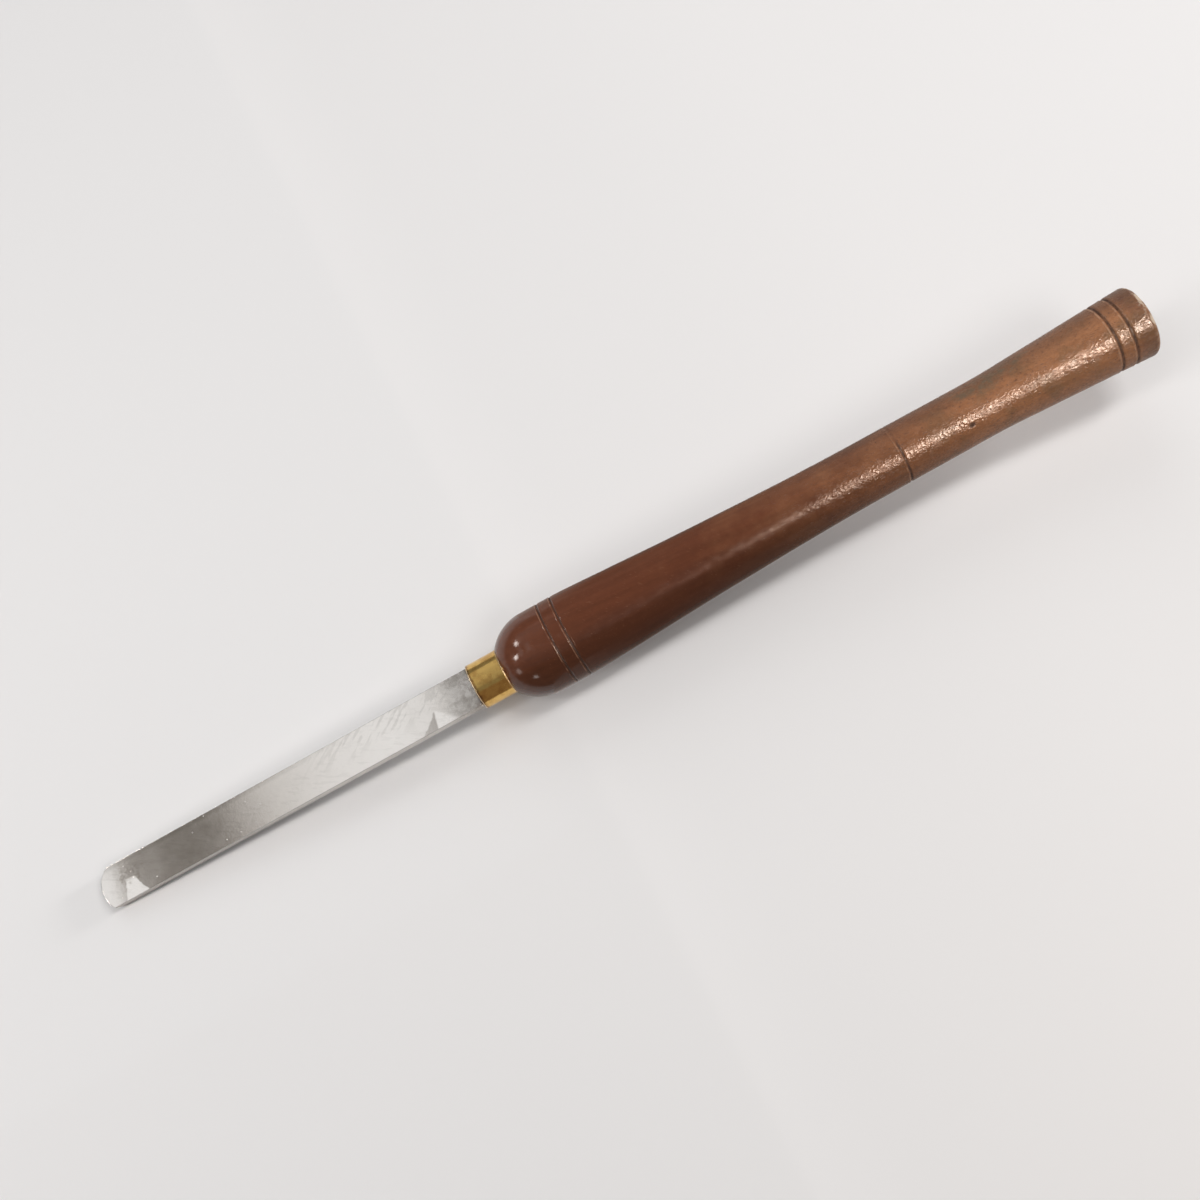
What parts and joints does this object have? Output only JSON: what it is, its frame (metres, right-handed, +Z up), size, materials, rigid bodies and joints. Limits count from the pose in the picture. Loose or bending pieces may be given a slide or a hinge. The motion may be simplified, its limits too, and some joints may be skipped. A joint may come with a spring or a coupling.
{
  "type": "round-nose woodturning scraper",
  "caption": "Long-handled lathe scraper: flat steel bar with a round ground nose, short brass ferrule and a turned, lacquered wooden handle.",
  "frame": {"origin": "on the table that the tool lies on, under the middle of its outer box", "axes": "+Z up; +X along the tool from the nose of the blade towards the butt of the handle; +Y across the width of the blade"},
  "size_m": [0.5442, 0.0406, 0.0605],
  "materials": {
    "blade_steel": "satin",
    "ferrule_brass": "satin",
    "handle_wood": "gloss"
  },
  "bodies": {
    "root": {"blade": "blade_steel", "ferrule": "ferrule_brass", "handle": "handle_wood"}
  },
  "joints": []
}
